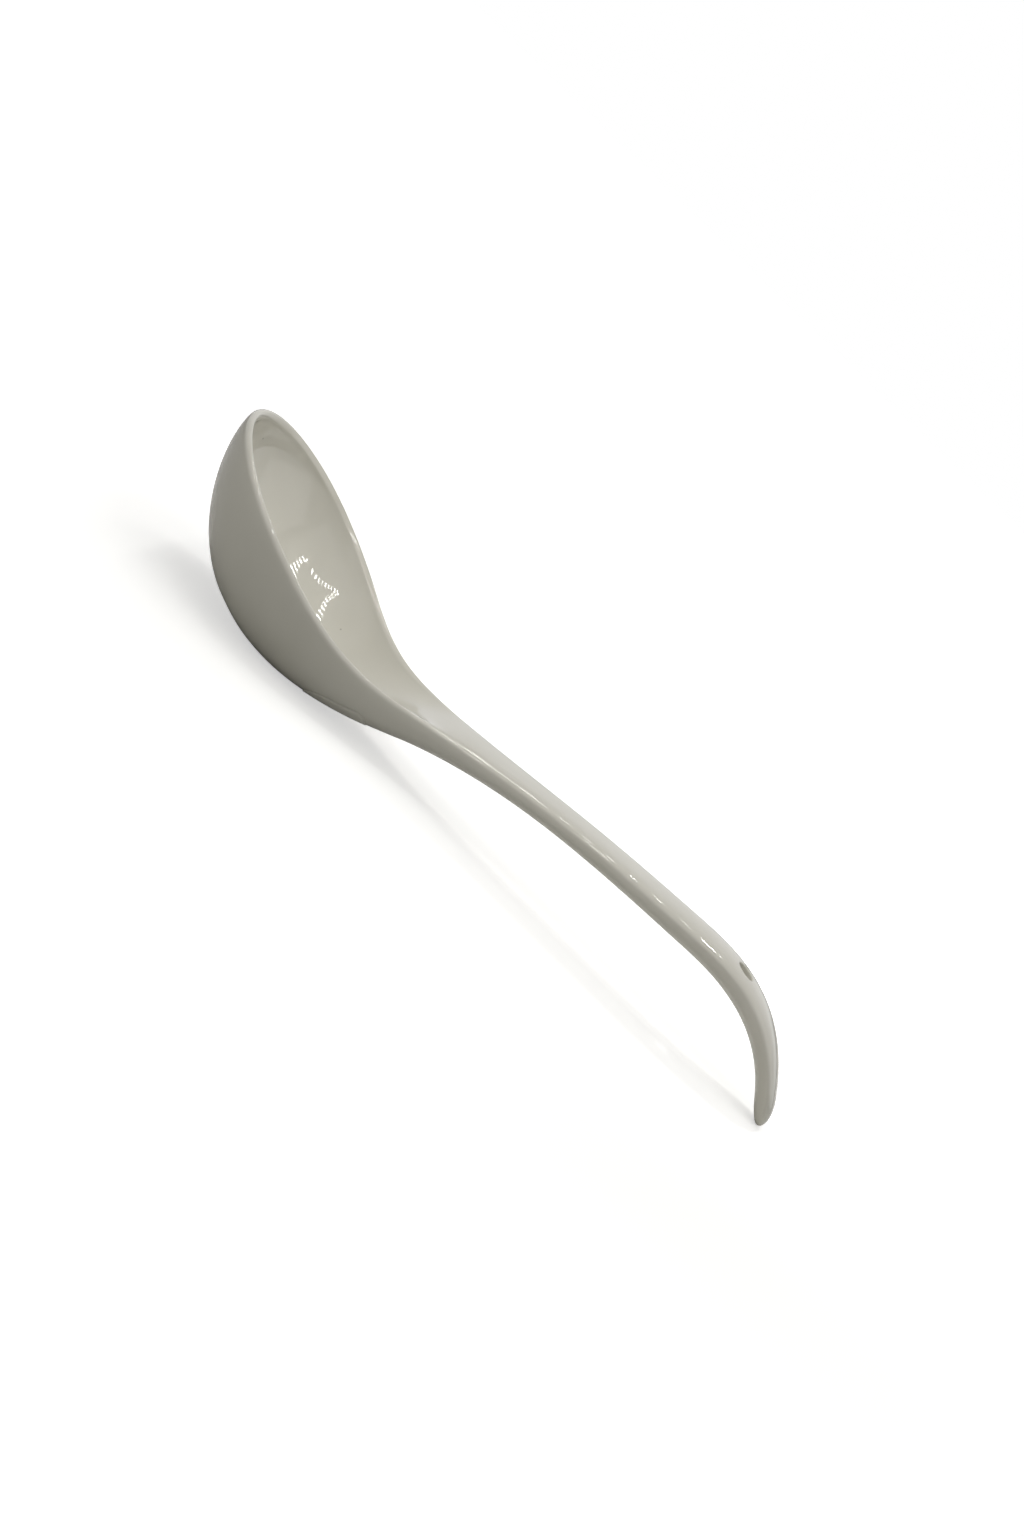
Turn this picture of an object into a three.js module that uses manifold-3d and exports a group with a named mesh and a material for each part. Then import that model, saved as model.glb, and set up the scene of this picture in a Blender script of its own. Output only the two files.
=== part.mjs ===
// A one-piece moulded curry spoon: a deep round bowl, a neck, a bowed handle and a hooked end
// with a hanging hole, and the blank label stuck under the bowl. It lies as it does on a table,
// on the flat foot under its bowl and the tip of its hook. Millimetres, +Z up, +X from the bowl
// towards the hook, Y = 0 its middle plane, origin under the middle of its box.

import * as THREE from "three";
import { mergeGeometries, mergeVertices } from "three/addons/utils/BufferGeometryUtils.js";
import Module from "manifold-3d";

// The bowl. The top line runs along the spoon's middle, level with the rim, from the bowl's
// front lip to the tip of the hook, and lengths are measured along it.
const BOWL_RADIUS = 40; // front half of the rim, seen from above
const BOWL_DEPTH = 34.4; // rim to underside at the deepest place
const DEEPEST_BEHIND_CENTRE = 9;
const BOWL_FLARE = 1.5; // power of the wall's curve: 1 is an ellipse, and more leans the wall out
const WALL = 3; // the lip is rounded over this width
const LIP_FULLNESS = 1.25; // power of the lip's inner half: 2 is round, and less is more of a bevel
const HOLLOW_KEPT = 20; // how far behind the deepest place the wall keeps its thickness
const HOLLOW_RUN_OUT = 55; // length over which the hollow then runs out into the neck
const FOOT_CUT = 0.5; // taken off the underside where it rests

// The neck
const NECK_LENGTH = 87; // bowl's centre to the start of the handle
const NECK_BLOCK = 33; // the last stretch of it, which is a piece of its own
const NECK_SHOULDER = 41.5; // reach of the outline's curve at the bowl
const WAIST_BEHIND_CENTRE = 122; // bowl's centre to the narrowest and thinnest place of the handle
const WAIST_FADE = 85; // reach of the outline's curve at the waist
const NECK_BEND = 30.6; // degrees up
const NECK_BEND_BEHIND_CENTRE = 21.8;
const NECK_BEND_RUN = 43;
const KEEL_ROUND = 36.4; // reach of the underside's curve at the bowl
const KEEL_FADE = 89.5; // reach of the underside's curve at the waist

// The handle
const HANDLE_LENGTH = 82.4;
const HANDLE_BOW = 3.8; // degrees down
const HANDLE_WIDTH = 19.3; // at the waist
const HANDLE_THICKNESS = 7.85; // at the waist
const HANDLE_CROWN = 2.7; // rise of the solid top above the widest place of its section
const HANDLE_FULLNESS = 3; // power of the top's curve at the waist: 2 is an ellipse, and more is squarer

// The hook
const HOOK_LENGTH = 75.4;
const HOOK_BEND = 58.9; // degrees down
const HOOK_WIDTH = 20.2; // at the hanging hole, as are the next two
const HOOK_THICKNESS = 9;
const HOOK_FULLNESS = 2.2; // power of the top's curve
const TIP_THICKNESS = 6.5;
const TIP_TAPER = 29.4; // length over which the width runs in to the tip
const TIP_BLUNTNESS = 3; // power of that taper: 2 is an ellipse, and more is blunter
const TIP_ROUND = 9.4; // length over which the thickness rounds off
const TIP_DROP = 0.65; // how far down through the thickness the tip's point lies
const HOLE_FROM_HOOK = 23; // start of the hook to the hanging hole
const HOLE_DIAMETER = 6.6;
const HOLE_EDGE = 0.6; // rounding of the hole's two mouths

// The label
const LABEL_FROM_DEEPEST = 30;
const LABEL_LENGTH = 15.5;
const LABEL_WIDTH = 32;
const LABEL_SQUARENESS = 5; // power of the outline: 2 is an oval, and more is squarer
const LABEL_THICKNESS = 0.2;
const LABEL_CLEARANCE = 0.3;

// Fineness of the surfaces
const TRACE_STEP = 0.5;
const STATION_STEP = 5;
const WALL_STEPS = 10;
const LIP_STEPS = 4;
const FRONT_STEPS = 14;
const SIDE_STEPS = 2;
const TIP_STEPS = 5;
const HOLE_SIDES = 28;
const HOLE_EDGE_STEPS = 3;
const LABEL_SIDES = 40;
const LABEL_RINGS = 5;
const HALVINGS = 50;
const WELD = 1e-4;

// Places along the top line, and sizes worked out from the ones above
const { clamp, degToRad, lerp, smoothstep } = THREE.MathUtils;
const QUARTER = Math.PI / 2;
const lip = WALL / 2;
const bowlCentre = BOWL_RADIUS;
const deepest = bowlCentre + DEEPEST_BEHIND_CENTRE;
const hollowFades = deepest + HOLLOW_KEPT;
const bendStart = bowlCentre + NECK_BEND_BEHIND_CENTRE;
const waist = bowlCentre + WAIST_BEHIND_CENTRE;
const neckEnd = bowlCentre + NECK_LENGTH;
const neckStart = neckEnd - NECK_BLOCK;
const hookStart = neckEnd + HANDLE_LENGTH;
const tip = hookStart + HOOK_LENGTH;
const holeAt = hookStart + HOLE_FROM_HOOK;
const labelCentre = deepest + LABEL_FROM_DEEPEST + LABEL_LENGTH / 2;

const wasm = await Module();
wasm.setup();

// The top line's slope: up at the neck, a little down along the handle and down at the hook.
function slope(s) {
  const neck = NECK_BEND * smoothstep(s, bendStart, bendStart + NECK_BEND_RUN);
  const bow = HANDLE_BOW * smoothstep(s, neckEnd, hookStart);
  const hook = HOOK_BEND * smoothstep(s, hookStart, tip);
  return degToRad(neck - bow - hook);
}

// The top line as short straight steps, found by adding up its slope.
function traceTopLine() {
  const points = [new THREE.Vector2()];
  for (let s = 0; s < tip; s += TRACE_STEP) {
    const turn = slope(s + TRACE_STEP / 2);
    const step = new THREE.Vector2(Math.cos(turn), Math.sin(turn)).multiplyScalar(TRACE_STEP);
    points.push(step.add(points.at(-1)));
  }
  return points;
}
const topLine = traceTopLine();

// The point at a place along the top line, so far to its side and so far above it.
function place(s, side, height) {
  const i = clamp(Math.floor(s / TRACE_STEP), 0, topLine.length - 2);
  const on = topLine[i].clone().lerp(topLine[i + 1], s / TRACE_STEP - i);
  const turn = slope(s);
  return new THREE.Vector3(on.x - Math.sin(turn) * height, side, on.y + Math.cos(turn) * height);
}

// A smooth fall from one value to another, level at both ends, as a function of the place.
function fall(from, fromValue, fromReach, to, toValue, toReach) {
  const curve = new THREE.CubicBezierCurve(
    new THREE.Vector2(from, fromValue),
    new THREE.Vector2(from + fromReach, fromValue),
    new THREE.Vector2(to - toReach, toValue),
    new THREE.Vector2(to, toValue),
  );
  return (s) => {
    let low = 0;
    let high = 1;
    for (let i = 0; i < HALVINGS; i++) {
      const middle = (low + high) / 2;
      if (curve.getPoint(middle).x < s) low = middle;
      else high = middle;
    }
    return curve.getPoint(high).y;
  };
}
const neckHalf = fall(bowlCentre, BOWL_RADIUS, NECK_SHOULDER, waist, HANDLE_WIDTH / 2, WAIST_FADE);
const keelDepth = fall(deepest, BOWL_DEPTH, KEEL_ROUND, waist, HANDLE_THICKNESS, KEEL_FADE);

// How far a place has come from the waist to the hanging hole, from 0 to 1.
function towardsHole(s) {
  return smoothstep(s, waist, holeAt);
}

// Half the spoon's width at a place: a half circle, the neck, the handle and the tapered tip.
function halfWidth(s) {
  if (s < bowlCentre) return Math.sqrt(s * (2 * BOWL_RADIUS - s));
  const widening = ((HOOK_WIDTH - HANDLE_WIDTH) / 2) * towardsHole(s);
  const towardsTip = clamp(1 - (tip - s) / TIP_TAPER, 0, 1);
  return (neckHalf(s) + widening) * Math.sqrt(1 - towardsTip ** TIP_BLUNTNESS);
}

// Depth of the underside below the top line: most at the bowl, least at the tip.
function depthBelow(s) {
  const swelling = (HOOK_THICKNESS - HANDLE_THICKNESS) * towardsHole(s);
  const thinning = (HOOK_THICKNESS - TIP_THICKNESS) * smoothstep(s, holeAt, tip);
  return keelDepth(s) + swelling - thinning;
}

// How far the hollow is filled: 0 in the open bowl, 1 in the solid handle.
function filled(s) {
  return smoothstep(s, hollowFades, hollowFades + HOLLOW_RUN_OUT);
}

// A curved wall's point, at an angle from straight down, as its distance to the side and its height.
// The wall's edge lies below the top line by its drop.
function wallPoint(half, depth, drop, fill, angle) {
  const power = lerp(BOWL_FLARE, 1, fill);
  return [half * Math.sin(angle), -drop - (depth - drop) * Math.cos(angle) ** power];
}

// The outer wall's drop: half the lip in the open bowl, the crown in the solid handle.
function outerDrop(fill) {
  return lerp(lip, HANDLE_CROWN, fill);
}

// A point of the open bowl's lip and inside, counted from its outer edge to the middle.
function hollowPoint(half, depth, fill, count) {
  if (count < LIP_STEPS) {
    const turn = (Math.PI * count) / LIP_STEPS;
    const out = Math.cos(turn);
    const power = out < 0 ? 2 / LIP_FULLNESS : 1;
    const across = Math.sign(out) * Math.abs(out) ** power;
    return [half - lip + lip * across, lip * (Math.sin(turn) ** power - 1)];
  }
  const angle = QUARTER * (1 - (count - LIP_STEPS) / WALL_STEPS);
  return wallPoint(half - WALL, depth - WALL, lip, fill, angle);
}

// A point of the solid handle's top face, counted the same way.
function solidPoint(half, fullness, count) {
  const turn = (QUARTER * count) / (LIP_STEPS + WALL_STEPS);
  const across = Math.cos(turn) ** (2 / fullness);
  const up = Math.sin(turn) ** (2 / fullness);
  return [half * across, HANDLE_CROWN * (up - 1)];
}

// Half a section, from the middle of the underside round the edge to the middle of the top.
function halfSection(half, depth, fill, fullness) {
  const points = [];
  for (let i = 0; i <= WALL_STEPS; i++) {
    points.push(wallPoint(half, depth, outerDrop(fill), fill, (QUARTER * i) / WALL_STEPS));
  }
  for (let count = 1; count <= LIP_STEPS + WALL_STEPS; count++) {
    const open = hollowPoint(half, depth, fill, count);
    const solid = solidPoint(half, fullness, count);
    points.push([lerp(open[0], solid[0], fill), lerp(open[1], solid[1], fill)]);
  }
  return points;
}

// Half the section at a place behind the bowl's front.
function halfSectionAt(s) {
  const fullness = lerp(HANDLE_FULLNESS, HOOK_FULLNESS, towardsHole(s));
  return halfSection(halfWidth(s), depthBelow(s), filled(s), fullness);
}

// The whole section at a place, as a closed ring of points, drawn in at the rounded tip.
function ring(s) {
  const towardsTip = clamp(1 - (tip - s) / TIP_ROUND, 0, 1);
  const size = Math.sqrt(1 - towardsTip ** 2);
  const point = -TIP_DROP * depthBelow(s);
  const drawn = halfSectionAt(s).map(([side, height]) => [side, lerp(point, height, size)]);
  const right = drawn.map(([side, height]) => place(s, side, height));
  const left = drawn.slice(1, -1).map(([side, height]) => place(s, -side, height));
  return [...right, ...left.reverse()];
}

// One slice of the bowl's front, from the deepest place out to a point of the rim and back inside.
function slice(s, side) {
  const reach = Math.hypot(deepest - s, side);
  return halfSection(reach, BOWL_DEPTH, 0, HANDLE_FULLNESS).map(([out, height]) =>
    place(deepest - ((deepest - s) * out) / reach, (side * out) / reach, height),
  );
}

// A skin over rows of points. Closed rows join their last point to their first.
function skin(rows, closed) {
  const corners = [];
  for (let i = 0; i + 1 < rows.length; i++) {
    const count = rows[i].length;
    for (let j = 0; j < (closed ? count : count - 1); j++) {
      const k = (j + 1) % count;
      corners.push(rows[i][j], rows[i][k], rows[i + 1][k]);
      corners.push(rows[i][j], rows[i + 1][k], rows[i + 1][j]);
    }
  }
  return new THREE.BufferGeometry().setFromPoints(corners);
}

// The flat end of a piece, across the section at a place, facing forwards or back.
function endFace(s, forwards) {
  const half = halfSectionAt(s);
  const right = half.map(([side, height]) => new THREE.Vector2(side, height));
  const left = half.slice(1, -1).map(([side, height]) => new THREE.Vector2(-side, height));
  const triangles = THREE.ShapeUtils.triangulateShape([...right, ...left.reverse()], []);
  const points = ring(s);
  const corners = triangles.flatMap(([a, b, c]) => (forwards ? [a, b, c] : [a, c, b]));
  return new THREE.BufferGeometry().setFromPoints(corners.map((i) => points[i]));
}

// Evenly spaced places from one to another.
function stations(from, to) {
  const steps = Math.max(1, Math.round((to - from) / STATION_STEP));
  return Array.from({ length: steps + 1 }, (_, i) => lerp(from, to, i / steps));
}

// A geometry with its shared corners merged and the triangles that collapse at a pole left out.
function weld(geometries) {
  const bare = geometries.map((geometry) => {
    const flat = geometry.index ? geometry.toNonIndexed() : geometry;
    return new THREE.BufferGeometry().setAttribute("position", flat.getAttribute("position"));
  });
  const merged = mergeVertices(mergeGeometries(bare), WELD);
  const kept = [];
  for (let i = 0; i < merged.index.count; i += 3) {
    const [a, b, c] = merged.index.array.slice(i, i + 3);
    if (a !== b && b !== c && c !== a) kept.push(a, b, c);
  }
  return merged.setIndex(kept);
}

function bowlGeometry() {
  const rim = [];
  for (let i = 0; i <= SIDE_STEPS; i++) rim.push(lerp(deepest, bowlCentre, i / SIDE_STEPS));
  for (let i = 1; i <= FRONT_STEPS; i++) {
    rim.push(bowlCentre - BOWL_RADIUS * Math.sin((QUARTER * i) / FRONT_STEPS));
  }
  const left = rim.map((s) => slice(s, -halfWidth(s)));
  const right = rim.slice(0, -1).map((s) => slice(s, halfWidth(s)));
  const front = skin([...left, ...right.reverse()], false);
  const back = skin(stations(deepest, neckStart).map(ring), true);
  return weld([front, back, endFace(neckStart, true)]);
}

function neckGeometry() {
  const sides = skin(stations(neckStart, neckEnd).map(ring), true);
  return weld([endFace(neckStart, false), sides, endFace(neckEnd, true)]);
}

function handleGeometry() {
  const sides = skin(stations(neckEnd, hookStart).map(ring), true);
  return weld([endFace(neckEnd, false), sides, endFace(hookStart, true)]);
}

function hookGeometry() {
  const places = stations(hookStart, tip - TIP_ROUND);
  for (let i = 1; i <= TIP_STEPS; i++) {
    places.push(tip - TIP_ROUND * (1 - Math.sin((QUARTER * i) / TIP_STEPS)));
  }
  return weld([endFace(hookStart, false), skin(places.map(ring), true)]);
}

// The body that cuts the hanging hole, square to the top line, with its two mouths rounded.
function holeGeometry() {
  const mouth = HOLE_DIAMETER / 2 + HOLE_EDGE;
  const bottom = -depthBelow(holeAt);
  const overrun = HOLE_DIAMETER;
  const profile = [new THREE.Vector2(0, bottom - overrun), new THREE.Vector2(mouth, bottom - overrun)];
  for (let i = 0; i <= HOLE_EDGE_STEPS; i++) {
    const turn = (QUARTER * i) / HOLE_EDGE_STEPS;
    const radius = mouth - HOLE_EDGE * Math.sin(turn);
    profile.push(new THREE.Vector2(radius, bottom + HOLE_EDGE * (1 - Math.cos(turn))));
  }
  for (let i = HOLE_EDGE_STEPS; i >= 0; i--) {
    const turn = (QUARTER * i) / HOLE_EDGE_STEPS;
    const radius = mouth - HOLE_EDGE * Math.sin(turn);
    profile.push(new THREE.Vector2(radius, HOLE_EDGE * (Math.cos(turn) - 1)));
  }
  profile.push(new THREE.Vector2(mouth, overrun), new THREE.Vector2(0, overrun));
  const centre = place(holeAt, 0, 0);
  const upwards = place(holeAt, 0, 1).sub(centre);
  const turn = new THREE.Quaternion().setFromUnitVectors(new THREE.Vector3(0, 1, 0), upwards);
  const cutter = new THREE.LatheGeometry(profile, HOLE_SIDES);
  return weld([cutter.applyQuaternion(turn).translate(...centre.toArray())]);
}

// The label lies on the underside. Its outline is a squared oval and its faces follow the bowl.
function labelGeometry() {
  const power = LABEL_SQUARENESS;
  const point = (turn, reach, clearance) => {
    const along = Math.cos(turn);
    const across = Math.sin(turn);
    const stretch = (Math.abs(along) ** power + Math.abs(across) ** power) ** (-1 / power);
    const s = labelCentre + (LABEL_LENGTH / 2) * reach * stretch * along;
    const half = halfWidth(s);
    const angle = Math.asin(((LABEL_WIDTH / 2) * reach * stretch * across) / half);
    const fill = filled(s);
    const off = [half + clearance, depthBelow(s) + clearance, outerDrop(fill)];
    return place(s, ...wallPoint(...off, fill, angle));
  };
  const rows = [];
  for (let i = 0; i <= LABEL_SIDES; i++) {
    const turn = (2 * Math.PI * (i % LABEL_SIDES)) / LABEL_SIDES;
    const reaches = Array.from({ length: LABEL_RINGS + 1 }, (_, j) => j / LABEL_RINGS);
    const inner = reaches.map((reach) => point(turn, reach, LABEL_CLEARANCE));
    const outer = reaches.map((reach) => point(turn, reach, LABEL_CLEARANCE + LABEL_THICKNESS));
    rows.push([...inner, ...outer.reverse()]);
  }
  return weld([skin(rows, false)]);
}

// The lowest height that a geometry reaches when it is turned about Y.
function lowest(geometry, turn) {
  const turned = geometry.clone().applyMatrix4(new THREE.Matrix4().makeRotationY(turn));
  turned.computeBoundingBox();
  return turned.boundingBox.min.z;
}

// The turn about Y that sets the spoon down on its foot and the tip of its hook.
function restingTurn(bowl, hook) {
  let low = -QUARTER / 2;
  let high = QUARTER / 2;
  for (let i = 0; i < HALVINGS; i++) {
    const middle = (low + high) / 2;
    if (lowest(bowl, middle) + FOOT_CUT < lowest(hook, middle)) low = middle;
    else high = middle;
  }
  return low;
}

// The move that sets the spoon down with its origin under the middle of its box.
function restingPlace(bowl, hook) {
  const turn = new THREE.Matrix4().makeRotationY(restingTurn(bowl, hook));
  const box = new THREE.Box3();
  for (const geometry of [bowl, hook]) {
    const turned = geometry.clone().applyMatrix4(turn);
    box.expandByObject(new THREE.Mesh(turned));
  }
  const middle = box.getCenter(new THREE.Vector3());
  return turn.premultiply(new THREE.Matrix4().makeTranslation(-middle.x, 0, -box.min.z - FOOT_CUT));
}

// A welded geometry as a solid, and a solid as a geometry.
function solidOf(geometry) {
  const vertProperties = geometry.getAttribute("position").array;
  const triVerts = new Uint32Array(geometry.index.array);
  return new wasm.Manifold(new wasm.Mesh({ numProp: 3, vertProperties, triVerts }));
}

function geometryOf(solid) {
  const mesh = solid.getMesh();
  return new THREE.BufferGeometry()
    .setAttribute("position", new THREE.BufferAttribute(mesh.vertProperties, 3))
    .setIndex(new THREE.BufferAttribute(mesh.triVerts, 1));
}

// The bowl with its underside cut off level where it rests.
function cutFoot(bowl) {
  const side = 2 * BOWL_RADIUS;
  const below = new THREE.BoxGeometry(2 * side, side, side);
  const box = new THREE.Box3().setFromBufferAttribute(bowl.getAttribute("position"));
  below.translate(box.getCenter(new THREE.Vector3()).x, 0, -side / 2);
  return geometryOf(solidOf(bowl).subtract(solidOf(weld([below]))));
}

function cutHole(hook, hole) {
  return geometryOf(solidOf(hook).subtract(solidOf(hole)));
}

function piece(name, geometry, material) {
  geometry.computeVertexNormals();
  const mesh = new THREE.Mesh(geometry, material);
  mesh.name = name;
  return mesh;
}

function buildSpoon() {
  const white = new THREE.MeshStandardMaterial({ color: 0xdddbd1, roughness: 0.2, metalness: 0 });
  const film = new THREE.MeshStandardMaterial({ color: 0xcfcec8, roughness: 0.45, metalness: 0 });
  const bowl = bowlGeometry();
  const hook = hookGeometry();
  const rest = restingPlace(bowl, hook);
  const set = (geometry) => geometry.applyMatrix4(rest);
  const moulding = new THREE.Group();
  moulding.add(
    piece("bowl", cutFoot(set(bowl)), white),
    piece("neck", set(neckGeometry()), white),
    piece("handle", set(handleGeometry()), white),
    piece("hook", cutHole(set(hook), set(holeGeometry())), white),
  );
  const spoon = new THREE.Group();
  spoon.add(moulding, piece("label", set(labelGeometry()), film));
  return spoon;
}

export default buildSpoon();
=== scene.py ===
# The looks of the curry spoon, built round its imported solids: one glossy white skin for the bowl,
# neck, handle and hook, and the blank film label under the bowl. Metres, in the part's own frame.
import math

import bmesh
import bpy
from mathutils import Matrix, Vector


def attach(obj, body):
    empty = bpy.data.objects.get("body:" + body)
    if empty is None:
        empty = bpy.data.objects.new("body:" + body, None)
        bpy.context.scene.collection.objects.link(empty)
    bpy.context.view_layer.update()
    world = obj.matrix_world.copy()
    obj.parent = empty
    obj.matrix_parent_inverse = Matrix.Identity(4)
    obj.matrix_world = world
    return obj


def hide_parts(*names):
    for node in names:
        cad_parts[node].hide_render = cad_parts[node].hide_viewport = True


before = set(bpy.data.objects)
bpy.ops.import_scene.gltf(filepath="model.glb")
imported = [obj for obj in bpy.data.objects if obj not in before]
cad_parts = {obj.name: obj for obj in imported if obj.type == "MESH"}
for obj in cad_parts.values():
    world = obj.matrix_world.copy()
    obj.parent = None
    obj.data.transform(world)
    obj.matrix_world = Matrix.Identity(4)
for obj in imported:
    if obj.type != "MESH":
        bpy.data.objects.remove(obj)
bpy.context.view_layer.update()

# The spoon's sizes in millimetres and degrees, with the names they have in the part's source.
# Lengths run along the top line, level with the rim, from the bowl's front lip to the hook's tip.
MM = 0.001
BOWL_RADIUS = 40.0
BOWL_DEPTH = 34.4
DEEPEST_BEHIND_CENTRE = 9.0
BOWL_FLARE = 1.5
WALL = 3.0
LIP_FULLNESS = 1.25
HOLLOW_KEPT = 20.0
HOLLOW_RUN_OUT = 55.0
FOOT_CUT = 0.5
NECK_LENGTH = 87.0
NECK_BLOCK = 33.0
NECK_SHOULDER = 41.5
WAIST_BEHIND_CENTRE = 122.0
WAIST_FADE = 85.0
NECK_BEND = 30.6
NECK_BEND_BEHIND_CENTRE = 21.8
NECK_BEND_RUN = 43.0
KEEL_ROUND = 36.4
KEEL_FADE = 89.5
HANDLE_LENGTH = 82.4
HANDLE_BOW = 3.8
HANDLE_WIDTH = 19.3
HANDLE_THICKNESS = 7.85
HANDLE_CROWN = 2.7
HANDLE_FULLNESS = 3.0
HOOK_LENGTH = 75.4
HOOK_BEND = 58.9
HOOK_WIDTH = 20.2
HOOK_THICKNESS = 9.0
HOOK_FULLNESS = 2.2
TIP_THICKNESS = 6.5
TIP_TAPER = 29.4
TIP_BLUNTNESS = 3.0
TIP_ROUND = 9.4
TIP_DROP = 0.65
HOLE_FROM_HOOK = 23.0
HOLE_DIAMETER = 6.6
HOLE_EDGE = 0.6
LABEL_FROM_DEEPEST = 30.0
LABEL_LENGTH = 15.5
LABEL_WIDTH = 32.0
LABEL_SQUARENESS = 5.0
LABEL_FILM = 0.2
LABEL_GLUE = 0.05

# How finely the skin is drawn
TRACE_STEP = 0.5
ROW_STEP = 2.0
WALL_STEPS = 20
LIP_STEPS = 12
FRONT_STEPS = 60
TIP_STEPS = 8
HOLE_ROW_STEP = 0.7
HOLE_CUT = 6
HOLE_BLEND = 12
HOLE_EDGE_STEPS = 5
LABEL_STEPS = 24
HALVINGS = 50
WELD = 1e-4

# Places along the top line
QUARTER = math.pi / 2
LIP = WALL / 2
BOWL_CENTRE = BOWL_RADIUS
DEEPEST = BOWL_CENTRE + DEEPEST_BEHIND_CENTRE
HOLLOW_FADES = DEEPEST + HOLLOW_KEPT
BEND_START = BOWL_CENTRE + NECK_BEND_BEHIND_CENTRE
WAIST = BOWL_CENTRE + WAIST_BEHIND_CENTRE
NECK_END = BOWL_CENTRE + NECK_LENGTH
NECK_START = NECK_END - NECK_BLOCK
HOOK_START = NECK_END + HANDLE_LENGTH
TIP = HOOK_START + HOOK_LENGTH
HOLE_AT = HOOK_START + HOLE_FROM_HOOK
HOLE_SPAN = HOLE_BLEND * HOLE_ROW_STEP
LABEL_CENTRE = DEEPEST + LABEL_FROM_DEEPEST + LABEL_LENGTH / 2
TOP_MIDDLE = WALL_STEPS + LIP_STEPS + WALL_STEPS


def mix(a, b, share):
    return a + (b - a) * share


def limit(value):
    return min(max(value, 0.0), 1.0)


# A smooth rise from 0 to 1 between two places
def ramp(s, start, end):
    t = limit((s - start) / (end - start))
    return t * t * (3.0 - 2.0 * t)


# The share at which a rising function reaches a value
def solve(rising, value, low=0.0, high=1.0):
    for _ in range(HALVINGS):
        middle = (low + high) / 2
        if rising(middle) < value:
            low = middle
        else:
            high = middle
    return high


# The top line: up at the neck, a little down along the handle and down at the hook
def slope(s):
    neck = NECK_BEND * ramp(s, BEND_START, BEND_START + NECK_BEND_RUN)
    bow = HANDLE_BOW * ramp(s, NECK_END, HOOK_START)
    hook = HOOK_BEND * ramp(s, HOOK_START, TIP)
    return math.radians(neck - bow - hook)


def trace_top_line():
    points = [Vector((0.0, 0.0))]
    for i in range(math.ceil(TIP / TRACE_STEP)):
        turn = slope((i + 0.5) * TRACE_STEP)
        points.append(points[-1] + TRACE_STEP * Vector((math.cos(turn), math.sin(turn))))
    return points


top_line = trace_top_line()


# The point at a place along the top line, so far to its side and so far above it
def place(s, side, height):
    i = min(max(int(s / TRACE_STEP), 0), len(top_line) - 2)
    on = top_line[i].lerp(top_line[i + 1], s / TRACE_STEP - i)
    turn = slope(s)
    return Vector((on.x - math.sin(turn) * height, side, on.y + math.cos(turn) * height))


def bezier(t, a, b, c, d):
    u = 1.0 - t
    return u * u * u * a + 3 * u * u * t * b + 3 * u * t * t * c + t * t * t * d


# A fall from one value to another along the top line, level at both ends
def fall(s, start, start_value, start_reach, end, end_value, end_reach):
    t = solve(lambda t: bezier(t, start, start + start_reach, end - end_reach, end), s)
    return bezier(t, start_value, start_value, end_value, end_value)


# How far a place has come from the waist to the hanging hole
def towards_hole(s):
    return ramp(s, WAIST, HOLE_AT)


# Half the width at a place: a half circle, the neck, the handle and the tapered tip
def half_width(s):
    if s < BOWL_CENTRE:
        return math.sqrt(max(s, 0.0) * (2 * BOWL_RADIUS - s))
    neck = fall(s, BOWL_CENTRE, BOWL_RADIUS, NECK_SHOULDER, WAIST, HANDLE_WIDTH / 2, WAIST_FADE)
    widening = (HOOK_WIDTH - HANDLE_WIDTH) / 2 * towards_hole(s)
    towards_tip = limit(1.0 - (TIP - s) / TIP_TAPER)
    return (neck + widening) * math.sqrt(1.0 - towards_tip**TIP_BLUNTNESS)


# Depth of the underside below the top line
def depth_below(s):
    keel = fall(s, DEEPEST, BOWL_DEPTH, KEEL_ROUND, WAIST, HANDLE_THICKNESS, KEEL_FADE)
    swelling = (HOOK_THICKNESS - HANDLE_THICKNESS) * towards_hole(s)
    thinning = (HOOK_THICKNESS - TIP_THICKNESS) * ramp(s, HOLE_AT, TIP)
    return keel + swelling - thinning


# How far the hollow is filled: 0 in the open bowl, 1 in the solid handle
def filled(s):
    return ramp(s, HOLLOW_FADES, HOLLOW_FADES + HOLLOW_RUN_OUT)


# A curved wall's point at an angle from straight down, as its distance to the side and its height.
# The wall's edge lies below the top line by its drop.
def wall_point(half, depth, drop, fill, angle):
    power = mix(BOWL_FLARE, 1.0, fill)
    return half * math.sin(angle), -drop - (depth - drop) * max(math.cos(angle), 0.0) ** power


# The outer wall's drop: half the lip in the open bowl, the crown in the solid handle
def outer_drop(fill):
    return mix(LIP, HANDLE_CROWN, fill)


# The open bowl's lip and inside, counted from its outer edge to the middle
def hollow_point(half, depth, fill, count):
    if count < LIP_STEPS:
        turn = math.pi * count / LIP_STEPS
        out = math.cos(turn)
        power = 2 / LIP_FULLNESS if out < 0.0 else 1.0
        across = math.copysign(abs(out) ** power, out)
        return half - LIP + LIP * across, LIP * (math.sin(turn) ** power - 1.0)
    angle = QUARTER * (1.0 - (count - LIP_STEPS) / WALL_STEPS)
    return wall_point(half - WALL, depth - WALL, LIP, fill, angle)


# How square the solid top is at a place: 2 is an ellipse, and more is squarer
def fullness_at(s):
    return mix(HANDLE_FULLNESS, HOOK_FULLNESS, towards_hole(s))


# The solid top's height at a share of the way from its middle to its edge
def top_height(share, fullness):
    return HANDLE_CROWN * (max(1.0 - share**fullness, 0.0) ** (1 / fullness) - 1.0)


# The solid handle's top, counted the same way
def solid_point(half, fullness, count):
    across = max(math.cos(QUARTER * count / (LIP_STEPS + WALL_STEPS)), 0.0) ** (2 / fullness)
    return half * across, top_height(across, fullness)


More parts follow.
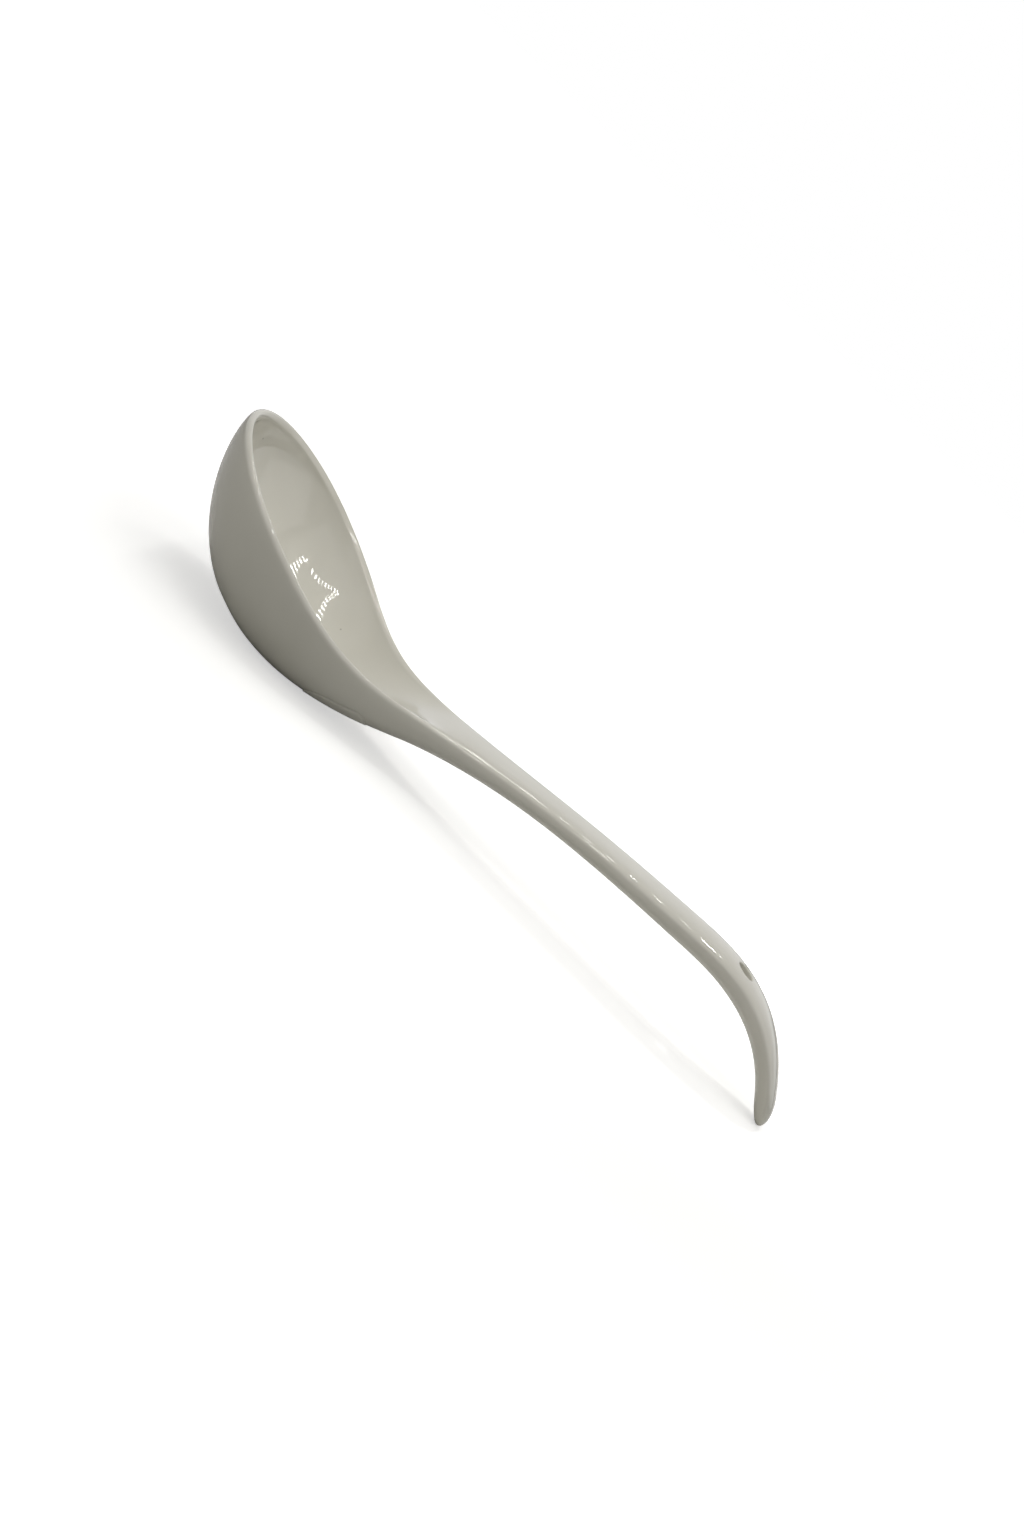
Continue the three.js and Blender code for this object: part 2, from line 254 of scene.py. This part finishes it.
# Half a section, from the middle of the underside round the edge to the middle of the top
def half_section(half, depth, fill, fullness):
    points = []
    for i in range(WALL_STEPS + 1):
        points.append(wall_point(half, depth, outer_drop(fill), fill, QUARTER * i / WALL_STEPS))
    for count in range(1, LIP_STEPS + WALL_STEPS + 1):
        open_side, open_height = hollow_point(half, depth, fill, count)
        solid_side, solid_height = solid_point(half, fullness, count)
        points.append((mix(open_side, solid_side, fill), mix(open_height, solid_height, fill)))
    return points


# The half section at a place, drawn in at the rounded tip
def section_at(s):
    depth = depth_below(s)
    size = math.sqrt(1.0 - limit(1.0 - (TIP - s) / TIP_ROUND) ** 2)
    points = half_section(half_width(s), depth, filled(s), fullness_at(s))
    return [(side, mix(-TIP_DROP * depth, height, size)) for side, height in points]


# How far the rim is from the deepest place, at an angle round from straight ahead
def rim_reach(angle):
    s = solve(lambda s: math.atan2(half_width(s), DEEPEST - s), angle, 0.0, DEEPEST)
    return math.hypot(half_width(s), DEEPEST - s)


# Evenly spaced places after the first one, as far as the last
def rows_between(start, end, step):
    count = max(1, round((end - start) / step))
    return [mix(start, end, (i + 1) / count) for i in range(count)]


# The bowl's front: half a section spun half a turn about the deepest place, then drawn to the rim
def spin_front(bm, step):
    start = half_section(half_width(DEEPEST), BOWL_DEPTH, 0.0, HANDLE_FULLNESS)
    chain = [bm.verts.new((DEEPEST, -side, height)) for side, height in start]
    for i, vert in enumerate(chain):
        vert[step] = i
    for before, after in zip(chain, chain[1:]):
        bm.edges.new((before, after))
    bmesh.ops.spin(
        bm,
        geom=bm.verts[:] + bm.edges[:],
        cent=(DEEPEST, 0.0, 0.0),
        axis=(0.0, 0.0, 1.0),
        angle=-math.pi,
        steps=FRONT_STEPS,
    )
    slices = {}
    for vert in bm.verts:
        angle = math.atan2(vert.co.y, DEEPEST - vert.co.x)
        key = round(abs(angle) / math.pi * FRONT_STEPS)
        if key not in slices:
            slices[key] = half_section(rim_reach(abs(angle)), BOWL_DEPTH, 0.0, HANDLE_FULLNESS)
        out, height = slices[key][vert[step]]
        vert.co = place(DEEPEST - math.cos(angle) * out, math.sin(angle) * out, height)
    bmesh.ops.remove_doubles(bm, verts=bm.verts, dist=WELD)


def parts_of(geometry, kind):
    return [element for element in geometry if isinstance(element, kind)]


# Extrudes a loop of edges. Returns the new corners and the new loop.
def extrude_loop(bm, loop):
    made = bmesh.ops.extrude_edge_only(bm, edges=loop)["geom"]
    edges = [edge for edge in parts_of(made, bmesh.types.BMEdge) if edge.is_boundary]
    return parts_of(made, bmesh.types.BMVert), edges


# The back of the bowl, the neck, the handle and the hook: the section extruded along the top line
def extrude_back(bm, step, row):
    places = rows_between(DEEPEST, HOOK_START, ROW_STEP)
    places += rows_between(HOOK_START, HOLE_AT - HOLE_SPAN, ROW_STEP)
    places += rows_between(HOLE_AT - HOLE_SPAN, HOLE_AT + HOLE_SPAN, HOLE_ROW_STEP)
    places += rows_between(HOLE_AT + HOLE_SPAN, TIP - TIP_ROUND, ROW_STEP)
    for i in range(TIP_STEPS):
        places.append(TIP - TIP_ROUND * (1.0 - math.sin(QUARTER * (i + 1) / TIP_STEPS)))
    hole_row = min(range(len(places)), key=lambda i: abs(places[i] - HOLE_AT))
    loop = [edge for edge in bm.edges if edge.is_boundary]
    for i, s in enumerate(places):
        corners, loop = extrude_loop(bm, loop)
        points = section_at(s)
        for vert in corners:
            side, height = points[vert[step]]
            vert[row] = abs(i - hole_row)
            vert.co = place(s, math.copysign(side, vert.co.y), height)
    bmesh.ops.remove_doubles(bm, verts=bm.verts, dist=WELD)


# The hanging hole: a round patch cut out of the top and the underside, its mouths rounded and joined
def cut_hole(bm, step, row):
    centre = place(HOLE_AT, 0.0, 0.0)
    axis = place(HOLE_AT, 0.0, 1.0) - centre
    along = Vector((axis.z, 0.0, -axis.x))
    mouth = HOLE_DIAMETER / 2 + HOLE_EDGE

    def on_top(vert):
        return vert[step] > WALL_STEPS

    def rows_away(vert):
        columns = TOP_MIDDLE - vert[step] if on_top(vert) else vert[step]
        return max(vert[row], columns)

    def surface(s, side, top):
        share = min(abs(side) / half_width(s), 1.0)
        under = wall_point(0.0, depth_below(s), HANDLE_CROWN, 1.0, math.asin(share))[1]
        return place(s, side, top_height(share, fullness_at(s)) if top else under)

    hook_start = place(HOOK_START, 0.0, 0.0).x
    near = [v for v in bm.verts if v.co.x > hook_start and rows_away(v) < HOLE_BLEND]
    for vert in near:
        own = Vector((along.dot(vert.co - centre), vert.co.y))
        away = rows_away(vert)
        if away < HOLE_CUT:
            continue
        goal = (own.normalized() * mouth).lerp(own, (away - HOLE_CUT) / (HOLE_BLEND - HOLE_CUT))
        top = on_top(vert)
        s = solve(
            lambda s: along.dot(surface(s, goal.y, top) - centre),
            goal.x,
            HOLE_AT - 2 * HOLE_SPAN,
            HOLE_AT + 2 * HOLE_SPAN,
        )
        vert.co = surface(s, goal.y, top)
    inside = set(v for v in near if rows_away(v) <= HOLE_CUT)
    patch = [face for face in bm.faces if inside.issuperset(face.verts)]
    bmesh.ops.delete(bm, geom=patch, context="FACES")
    loops = {}
    for edge in bm.edges:
        if edge.is_boundary:
            loops.setdefault(on_top(edge.verts[0]), []).append(edge)
    ends = []
    for top, loop in loops.items():
        inwards = -axis if top else axis
        for i in range(HOLE_EDGE_STEPS):
            before = QUARTER * i / HOLE_EDGE_STEPS
            after = QUARTER * (i + 1) / HOLE_EDGE_STEPS
            corners, loop = extrude_loop(bm, loop)
            for vert in corners:
                out = vert.co - centre
                out = (out - axis * out.dot(axis)).normalized()
                vert.co -= out * HOLE_EDGE * (math.sin(after) - math.sin(before))
                vert.co += inwards * HOLE_EDGE * (math.cos(before) - math.cos(after))
        ends += loop
    bmesh.ops.bridge_loops(bm, edges=ends)


# The move that sets the spoon down on its foot and the tip of its hook, in metres
def resting_place(bm):
    bowl_end = place(NECK_START, 0.0, 0.0).x
    hook_start = place(HOOK_START, 0.0, 0.0).x
    bowl = [v.co for v in bm.verts if v.co.x < bowl_end]
    hook = [v.co for v in bm.verts if v.co.x > hook_start]

    def lowest(points, turn):
        return min(math.cos(turn) * p.z - math.sin(turn) * p.x for p in points)

    turn = solve(lambda t: lowest(bowl, t) - lowest(hook, t), -FOOT_CUT, -QUARTER / 2, QUARTER / 2)
    turned = Matrix.Rotation(turn, 4, "Y")
    reach = [(turned @ p).x for p in bowl + hook]
    middle = (min(reach) + max(reach)) / 2
    set_down = Matrix.Translation((-middle, 0.0, -lowest(hook, turn)))
    return Matrix.Scale(MM, 4) @ set_down @ turned


# The flat under the bowl that the spoon rests on. Returns its outline.
def cut_foot(bm):
    bowl = [face for face in bm.faces if face.calc_center_median().x < 0.0]
    edges = list(dict.fromkeys(edge for face in bowl for edge in face.edges))
    corners = list(dict.fromkeys(vert for face in bowl for vert in face.verts))
    geometry = bowl + edges + corners
    cut = bmesh.ops.bisect_plane(bm, geom=geometry, plane_no=(0.0, 0.0, 1.0), clear_inner=True)
    outline = parts_of(cut["geom_cut"], bmesh.types.BMEdge)
    bmesh.ops.holes_fill(bm, edges=outline)
    return outline


def as_object(bm, name, material):
    mesh = bpy.data.meshes.new(name)
    bm.to_mesh(mesh)
    bm.free()
    mesh.materials.append(material)
    made = bpy.data.objects.new(name, mesh)
    bpy.context.scene.collection.objects.link(made)
    return made


def as_piece(bm, name, material):
    piece = as_object(bm, name, material)
    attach(piece, "root")
    return piece


# The bowl, neck, handle and hook in one skin. Returns it with the move that sets the spoon down.
def spoon_skin(material):
    bm = bmesh.new()
    step = bm.verts.layers.int.new("step")
    row = bm.verts.layers.int.new("row")
    spin_front(bm, step)
    extrude_back(bm, step, row)
    cut_hole(bm, step, row)
    rest = resting_place(bm)
    bm.transform(rest)
    sharp = cut_foot(bm)
    bmesh.ops.recalc_face_normals(bm, faces=bm.faces)
    for face in bm.faces:
        face.smooth = True
    for edge in sharp:
        edge.smooth = False
    bm.verts.layers.int.remove(row)
    bm.verts.layers.int.remove(bm.verts.layers.int["step"])
    skin = as_piece(bm, "spoon_moulding", material)
    return skin, rest


# The film label: a grid with rounded corners laid on the underside and given its thickness
def film_label(material, rest):
    bm = bmesh.new()
    bm.loops.layers.uv.new("film")
    bmesh.ops.create_grid(
        bm, x_segments=LABEL_STEPS, y_segments=LABEL_STEPS, size=1.0, calc_uvs=True
    )
    for vert in bm.verts:
        along, across = vert.co.x, vert.co.y
        power = LABEL_SQUARENESS
        oval = (abs(along) ** power + abs(across) ** power) ** (1 / power)
        stretch = max(abs(along), abs(across)) / oval if oval else 0.0
        s = LABEL_CENTRE + LABEL_LENGTH / 2 * along * stretch
        half = half_width(s)
        fill = filled(s)
        turn = math.asin(LABEL_WIDTH / 2 * across * stretch / half)
        off = (half + LABEL_GLUE, depth_below(s) + LABEL_GLUE, outer_drop(fill))
        vert.co = place(s, *wall_point(*off, fill, turn))
    bmesh.ops.recalc_face_normals(bm, faces=bm.faces)
    if bm.faces[0].normal.z > 0.0:
        bmesh.ops.reverse_faces(bm, faces=bm.faces)
    bmesh.ops.solidify(bm, geom=bm.faces[:], thickness=-LABEL_FILM)
    bm.transform(rest)
    for face in bm.faces:
        face.smooth = True
    return as_piece(bm, "film_label", material)


# Colours of the finishes
WHITE = (0.74, 0.725, 0.655, 1.0)
WHITE_CLOUD = (0.70, 0.685, 0.61, 1.0)
SPECK = (0.22, 0.21, 0.17, 1.0)
SCUFF = (0.60, 0.585, 0.53, 1.0)
FILM = (0.735, 0.72, 0.65, 1.0)
# Painted shade for the film's edge line, standing in for the shadow at its raised edge
PAINTED_FILM_EDGE_SHADE = (0.64, 0.625, 0.57, 1.0)

# Patterns of the glossy white: scales count per metre, and heights are in metres
NOISE_SPAN = (0.3, 0.7)
CLOUD_SCALE = 26.0
CLOUD_SPAN = (0.35, 0.7)
SPECK_SCALE = 70.0
SPECK_SPAN = (0.012, 0.028)
SPECK_STRENGTH = 0.6
RUB_HEIGHT = 0.0025
SCRATCH_SCALE = 700.0
SCRATCH_DETAIL = 4.0
SCRATCH_SPAN = (0.45, 0.6)
SCUFF_DULLNESS = 0.3
POLISH_SCALE = 55.0
POLISH_DETAIL = 3.0
POLISH_ROUGHNESS = (0.02, 0.045)
RIPPLE_SCALE = 160.0
RIPPLE_HEIGHT = 0.000004
GRAIN_SCALE = 1800.0
GRAIN_HEIGHT = 0.000003
GRAIN_STRENGTH = 0.5
GLOSS_IOR = 1.5

# Patterns of the film, whose line of painted edge shade is placed as a share of its size
FILM_MIDDLE = (0.5, 0.5, 0.0)
FILM_LINE = (0.478, 0.488)
SATIN_SCALE = 400.0
SATIN_ROUGHNESS = (0.28, 0.42)
CREASE_SCALE = 260.0
CREASE_HEIGHT = 0.00004
CREASE_STRENGTH = 0.6


# A new node with its values set, and its inputs joined to other nodes' outputs
def add_node(tree, kind, values=None, joins=None, **settings):
    made = tree.nodes.new(kind)
    for name, value in settings.items():
        setattr(made, name, value)
    for name, value in (values or {}).items():
        made.inputs[name].default_value = value
    for name, output in (joins or {}).items():
        tree.links.new(output, made.inputs[name])
    return made


def add_noise(tree, coordinates, scale, detail=2.0):
    values = {"Scale": scale, "Detail": detail}
    return add_node(tree, "ShaderNodeTexNoise", values, {"Vector": coordinates}).outputs["Fac"]


# A value mapped from one span to another and kept inside it
def map_range(tree, value, span, levels=(0.0, 1.0)):
    values = {"From Min": span[0], "From Max": span[1], "To Min": levels[0], "To Max": levels[1]}
    return add_node(tree, "ShaderNodeMapRange", values, {"Value": value}).outputs["Result"]


# Small bumps of a height, on top of other bumps where there are any
def add_bump(tree, pattern, height, strength=1.0, under=None):
    joins = {"Height": pattern}
    if under is not None:
        joins["Normal"] = under
    values = {"Strength": strength, "Distance": height}
    return add_node(tree, "ShaderNodeBump", values, joins).outputs["Normal"]


# A colour mixed towards another by a share
def tint(tree, share, colour, other):
    made = add_node(tree, "ShaderNodeMix", data_type="RGBA")
    tree.links.new(share, made.inputs["Factor"])
    for name, value in (("A", colour), ("B", other)):
        socket = next(s for s in made.inputs if s.name == name and s.type == "RGBA")
        if isinstance(value, tuple):
            socket.default_value = value
        else:
            tree.links.new(value, socket)
    return next(s for s in made.outputs if s.type == "RGBA")


def new_finish(name):
    material = bpy.data.materials.new(name)
    material.use_nodes = True
    tree = material.node_tree
    return material, tree, tree.nodes["Principled BSDF"]


# Hard glossy white: faint clouding, a few dark specks, scuffs where it rests and a slightly wavy polish
def glossy_white():
    material, tree, shader = new_finish("glossy_white_moulding")
    coordinates = tree.nodes.new("ShaderNodeTexCoord").outputs["Object"]
    cloud = map_range(tree, add_noise(tree, coordinates, CLOUD_SCALE), CLOUD_SPAN)
    colour = tint(tree, cloud, WHITE, WHITE_CLOUD)
    cells = add_node(tree, "ShaderNodeTexVoronoi", {"Scale": SPECK_SCALE}, {"Vector": coordinates})
    speck = map_range(tree, cells.outputs["Distance"], SPECK_SPAN, (SPECK_STRENGTH, 0.0))
    colour = tint(tree, speck, colour, SPECK)
    height = add_node(tree, "ShaderNodeSeparateXYZ", joins={"Vector": coordinates}).outputs["Z"]
    rub = map_range(tree, height, (0.0, RUB_HEIGHT), (1.0, 0.0))
    scratches = map_range(tree, add_noise(tree, coordinates, SCRATCH_SCALE, SCRATCH_DETAIL), SCRATCH_SPAN)
    joins = {0: rub, 1: scratches}
    scuff = add_node(tree, "ShaderNodeMath", joins=joins, operation="MULTIPLY").outputs[0]
    colour = tint(tree, scuff, colour, SCUFF)
    tree.links.new(colour, shader.inputs["Base Color"])
    waves = add_noise(tree, coordinates, POLISH_SCALE, POLISH_DETAIL)
    joins = {0: scuff, 2: map_range(tree, waves, NOISE_SPAN, POLISH_ROUGHNESS)}
    dull = add_node(tree, "ShaderNodeMath", {1: SCUFF_DULLNESS}, joins, operation="MULTIPLY_ADD")
    tree.links.new(dull.outputs[0], shader.inputs["Roughness"])
    ripple = add_bump(tree, add_noise(tree, coordinates, RIPPLE_SCALE), RIPPLE_HEIGHT)
    fine = add_noise(tree, coordinates, GRAIN_SCALE)
    grain = add_bump(tree, fine, GRAIN_HEIGHT, GRAIN_STRENGTH, ripple)
    tree.links.new(grain, shader.inputs["Normal"])
    shader.inputs["IOR"].default_value = GLOSS_IOR
    return material


# Thin satin film with a fine darker line of painted shade round its edge, standing in for the shadow at
# the film's raised edge
def label_film():
    material, tree, shader = new_finish("label_film")
    flat = add_node(tree, "ShaderNodeUVMap", uv_map="film").outputs["UV"]
    middle = add_node(tree, "ShaderNodeVectorMath", {1: FILM_MIDDLE}, {0: flat}, operation="SUBTRACT")
    size = add_node(tree, "ShaderNodeVectorMath", joins={0: middle.outputs[0]}, operation="ABSOLUTE")
    parts = add_node(tree, "ShaderNodeSeparateXYZ", joins={"Vector": size.outputs[0]})
    joins = {0: parts.outputs["X"], 1: parts.outputs["Y"]}
    edge = add_node(tree, "ShaderNodeMath", joins=joins, operation="MAXIMUM")
    # The band of painted edge shade, from a share of the film's size out to its edge
    line = map_range(tree, edge.outputs[0], FILM_LINE)
    tree.links.new(tint(tree, line, FILM, PAINTED_FILM_EDGE_SHADE), shader.inputs["Base Color"])
    coordinates = tree.nodes.new("ShaderNodeTexCoord").outputs["Object"]
    satin = map_range(tree, add_noise(tree, coordinates, SATIN_SCALE), NOISE_SPAN, SATIN_ROUGHNESS)
    tree.links.new(satin, shader.inputs["Roughness"])
    folds = add_noise(tree, coordinates, CREASE_SCALE)
    crease = add_bump(tree, folds, CREASE_HEIGHT, CREASE_STRENGTH)
    tree.links.new(crease, shader.inputs["Normal"])
    return material


skin, resting = spoon_skin(glossy_white())
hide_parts("bowl", "neck", "handle", "hook")
label = film_label(label_film(), resting)
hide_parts("label")


# The white surroundings, as the camera and reflections see them, and as they light the spoon.
# The floor gives less light back under the bowl than under the hook.
PURE_WHITE = (1.0, 1.0, 1.0, 1.0)
AMBIENT = 0.04
FLOOR_REACH = 6.0
FLOOR_WHITE = (0.9, 0.9, 0.9, 1.0)
GLOW_SPAN = (0.15, 0.7)
GLOW_LEVELS = (0.55, 1.0)
BOUNCE_SPAN = (-0.04, 0.1)
BOWL_BOUNCE = (0.57, 0.57, 0.555, 1.0)
HOOK_BOUNCE = (0.87, 0.87, 0.855, 1.0)


# 1 for the camera and for what shows in reflections and through clear things, 0 for soft bounces
def seen_directly(tree):
    path = tree.nodes.new("ShaderNodeLightPath")
    seen = path.outputs["Is Camera Ray"]
    for name in ("Is Glossy Ray", "Is Transmission Ray"):
        joins = {0: seen, 1: path.outputs[name]}
        seen = add_node(tree, "ShaderNodeMath", joins=joins, operation="MAXIMUM").outputs[0]
    return seen


# One shader for what is seen directly and another for the light it gives
def show_and_light(tree, shown, lighting, output):
    choice = tree.nodes.new("ShaderNodeMixShader")
    tree.links.new(seen_directly(tree), choice.inputs["Fac"])
    tree.links.new(lighting.outputs[0], choice.inputs[1])
    tree.links.new(shown.outputs[0], choice.inputs[2])
    tree.links.new(choice.outputs[0], tree.nodes[output].inputs["Surface"])


def white_world():
    world = bpy.data.worlds.new("white_studio")
    bpy.context.scene.world = world
    world.use_nodes = True
    tree = world.node_tree
    lighting = tree.nodes["Background"]
    lighting.inputs["Color"].default_value = PURE_WHITE
    lighting.inputs["Strength"].default_value = AMBIENT
    backdrop = add_node(tree, "ShaderNodeBackground", {"Color": PURE_WHITE, "Strength": 1.0})
    show_and_light(tree, backdrop, lighting, "World Output")


# The floor: white with the spoon's shadow, running out into the white backdrop
def pale_floor():
    material = bpy.data.materials.new("pale_floor")
    material.use_nodes = True
    tree = material.node_tree
    tree.nodes.remove(tree.nodes["Principled BSDF"])
    coordinates = tree.nodes.new("ShaderNodeTexCoord").outputs["Object"]
    away = add_node(tree, "ShaderNodeVectorMath", joins={0: coordinates}, operation="LENGTH")
    glow = map_range(tree, away.outputs["Value"], GLOW_SPAN, GLOW_LEVELS)
    camera = tree.nodes.new("ShaderNodeLightPath").outputs["Is Camera Ray"]
    glow_seen = add_node(tree, "ShaderNodeMath", joins={0: glow, 1: camera}, operation="MULTIPLY")
    joins = {"Strength": glow_seen.outputs[0]}
    white = add_node(tree, "ShaderNodeEmission", {"Color": PURE_WHITE}, joins)
    lit = add_node(tree, "ShaderNodeBsdfDiffuse", {"Color": FLOOR_WHITE})
    shown = add_node(tree, "ShaderNodeAddShader", joins={0: white.outputs[0], 1: lit.outputs[0]})
    along = add_node(tree, "ShaderNodeSeparateXYZ", joins={"Vector": coordinates}).outputs["X"]
    bounced = tint(tree, map_range(tree, along, BOUNCE_SPAN), BOWL_BOUNCE, HOOK_BOUNCE)
    bounce = add_node(tree, "ShaderNodeBsdfDiffuse", joins={"Color": bounced})
    show_and_light(tree, shown, bounce, "Material Output")
    bm = bmesh.new()
    bmesh.ops.create_grid(bm, x_segments=1, y_segments=1, size=FLOOR_REACH)
    floor = as_object(bm, "floor", material)


def area_lamp_data(name, size, power, colour):
    data = bpy.data.lights.new(name, "AREA")
    data.shape = "RECTANGLE"
    data.size, data.size_y = size
    data.energy = power
    data.color = colour
    return data


def hang_lamp(data, location, lean, turn):
    lamp = bpy.data.objects.new(data.name, data)
    lamp.location = location
    lamp.rotation_euler = (lean, 0.0, turn)
    lamp.visible_camera = False
    bpy.context.scene.collection.objects.link(lamp)


# The lights: soft panels, thin strips of small lamps that show in the gloss, and two short tubes.
# Strips and tubes are given by the places of their ends, tubes and panels with their power.
LAMP_WHITE = (1.0, 0.985, 0.95)
PANEL_SIZE = (1.4, 0.9)
PANELS = (
    ((-0.2, -0.6, 1.0), 2.4),
    ((1.0, -0.1, 0.6), 2.7),
    ((-0.75, -0.75, 0.25), 2.0),
)
FRAME_HEIGHT = 0.42
DOT_SIZE = (0.007, 0.022)
DOT_POWER = 0.0135
DOT_PITCH = 0.022
FRAME_STRIPS = (
    ((0.015, -0.198), (-0.06, -0.207)),
    ((-0.06, -0.207), (-0.193, -0.267)),
    ((0.015, -0.198), (0.0175, 0.0)),
    ((-0.193, -0.267), (-0.155, -0.19)),
    ((-0.155, -0.19), (-0.15, 0.215)),
    ((-0.15, 0.215), (0.17, 0.215)),
)
TUBE_WIDTH = 0.06
TUBE_BEAM = 60.0
TUBES = (
    ((-0.08, 0.15), (-0.02, 0.15), 0.035),
    ((0.112, 0.15), (0.142, 0.15), 0.081),
)


# The panels face the spoon
def soft_panels():
    for spot, power in PANELS:
        data = area_lamp_data("soft_panel", PANEL_SIZE, power, LAMP_WHITE)
        x, y, z = spot
        hang_lamp(data, spot, math.atan2(math.hypot(x, y), z), math.atan2(x, -y))


# Rows of dots, which show as bars of light in the bowl
def light_frame():
    dot = area_lamp_data("light_frame_dot", DOT_SIZE, DOT_POWER, LAMP_WHITE)
    for start, end in FRAME_STRIPS:
        run = Vector(end) - Vector(start)
        count = max(2, round(run.length / DOT_PITCH))
        for i in range(count):
            spot = Vector(start) + run * (i + 0.5) / count
            hang_lamp(dot, (*spot, FRAME_HEIGHT), 0.0, math.atan2(run.y, run.x))


# Tubes over the handle, which show as thin glints along its ridge.
# Their narrow beam keeps a glint off the bowl's far rim.
def light_tubes():
    for start, end, power in TUBES:
        run = Vector(end) - Vector(start)
        data = area_lamp_data("light_tube", (run.length, TUBE_WIDTH), power, LAMP_WHITE)
        data.spread = math.radians(TUBE_BEAM)
        middle = Vector(start) + run / 2
        hang_lamp(data, (*middle, FRAME_HEIGHT), 0.0, math.atan2(run.y, run.x))


white_world()
pale_floor()
soft_panels()
light_frame()
light_tubes()


# The camera, at the photograph's angle
CAMERA_RISE = 15.937
CAMERA_ROLL = 43.88
CAMERA_DISTANCE = 0.65
CAMERA_AIM = (0.0, 0.0, 0.025)
CAMERA_SHIFT = (0.00306, 0.00578)
SENSOR = 36.0
LENS = 49.512


def photo_camera():
    rise = math.radians(CAMERA_RISE)
    roll = math.radians(CAMERA_ROLL)
    back = Vector((0.0, -math.cos(rise), math.sin(rise)))
    level = Vector((1.0, 0.0, 0.0))
    upright = back.cross(level)
    right = math.cos(roll) * level + math.sin(roll) * upright
    up = back.cross(right)
    data = bpy.data.cameras.new("camera")
    data.sensor_fit = "VERTICAL"
    data.sensor_width = SENSOR
    data.sensor_height = SENSOR
    data.lens = LENS
    data.shift_x, data.shift_y = CAMERA_SHIFT
    camera = bpy.data.objects.new("camera", data)
    turned = Matrix((right, up, back)).transposed().to_4x4()
    camera.matrix_world = Matrix.Translation(Vector(CAMERA_AIM) + CAMERA_DISTANCE * back) @ turned
    bpy.context.scene.collection.objects.link(camera)
    bpy.context.scene.camera = camera


photo_camera()
bpy.context.scene.view_settings.view_transform = "Standard"
